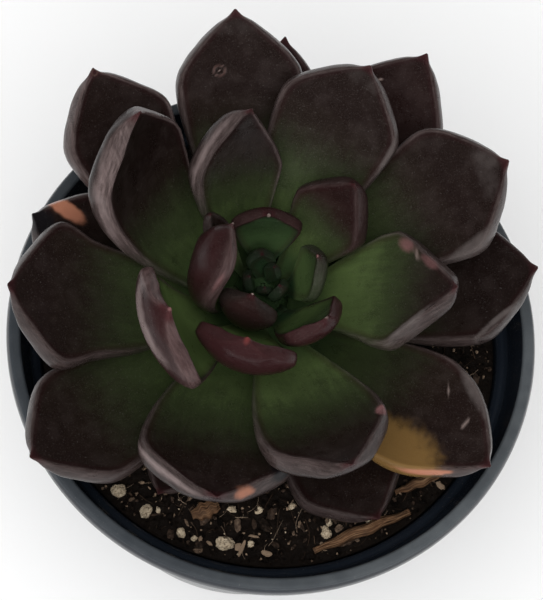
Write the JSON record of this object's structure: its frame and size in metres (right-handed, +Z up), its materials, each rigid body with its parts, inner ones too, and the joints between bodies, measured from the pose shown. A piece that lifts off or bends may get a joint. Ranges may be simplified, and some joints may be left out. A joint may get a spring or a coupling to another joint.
{
  "type": "potted echeveria",
  "caption": "Rosette succulent with thick, dark, pointed leaves round a green heart, on a short stem rooted in the soil of a round black nursery pot.",
  "frame": {"origin": "middle of the pot's flat bottom, on the surface that it stands on", "axes": "+Z up along the pot's axis, +X to the right and +Y away from someone who sees the plant as the picture does"},
  "size_m": [0.1098, 0.1142, 0.13],
  "materials": {
    "pot": "smooth blue-black moulded plastic",
    "soil": "loose dark potting mix of peat and bark, with white mineral grains",
    "bud": "smooth living green tissue",
    "bark": "rough, fibrous, dry",
    "leaf": "waxy, dark maroon-brown, green towards the root"
  },
  "bodies": {
    "root": {"pot": "pot", "soil": "soil", "stem": "bud", "bark_chip_long": "bark", "bark_chip_short": "bark", "bark_chip_flat": "bark", "leaf_01": "leaf", "leaf_02": "leaf", "leaf_03": "leaf", "leaf_04": "leaf", "leaf_05": "leaf", "leaf_06": "leaf", "leaf_07": "leaf", "leaf_08": "leaf", "leaf_09": "leaf", "leaf_10": "leaf", "leaf_11": "leaf", "leaf_12": "leaf", "leaf_13": "leaf", "leaf_14": "leaf", "leaf_15": "leaf", "leaf_16": "leaf", "leaf_17": "leaf", "leaf_18": "leaf", "leaf_19": "leaf", "leaf_20": "leaf", "leaf_21": "leaf", "leaf_22": "leaf", "leaf_23": "leaf", "leaf_24": "leaf", "leaf_25": "leaf", "leaf_26": "leaf", "leaf_27": "leaf"}
  },
  "joints": []
}
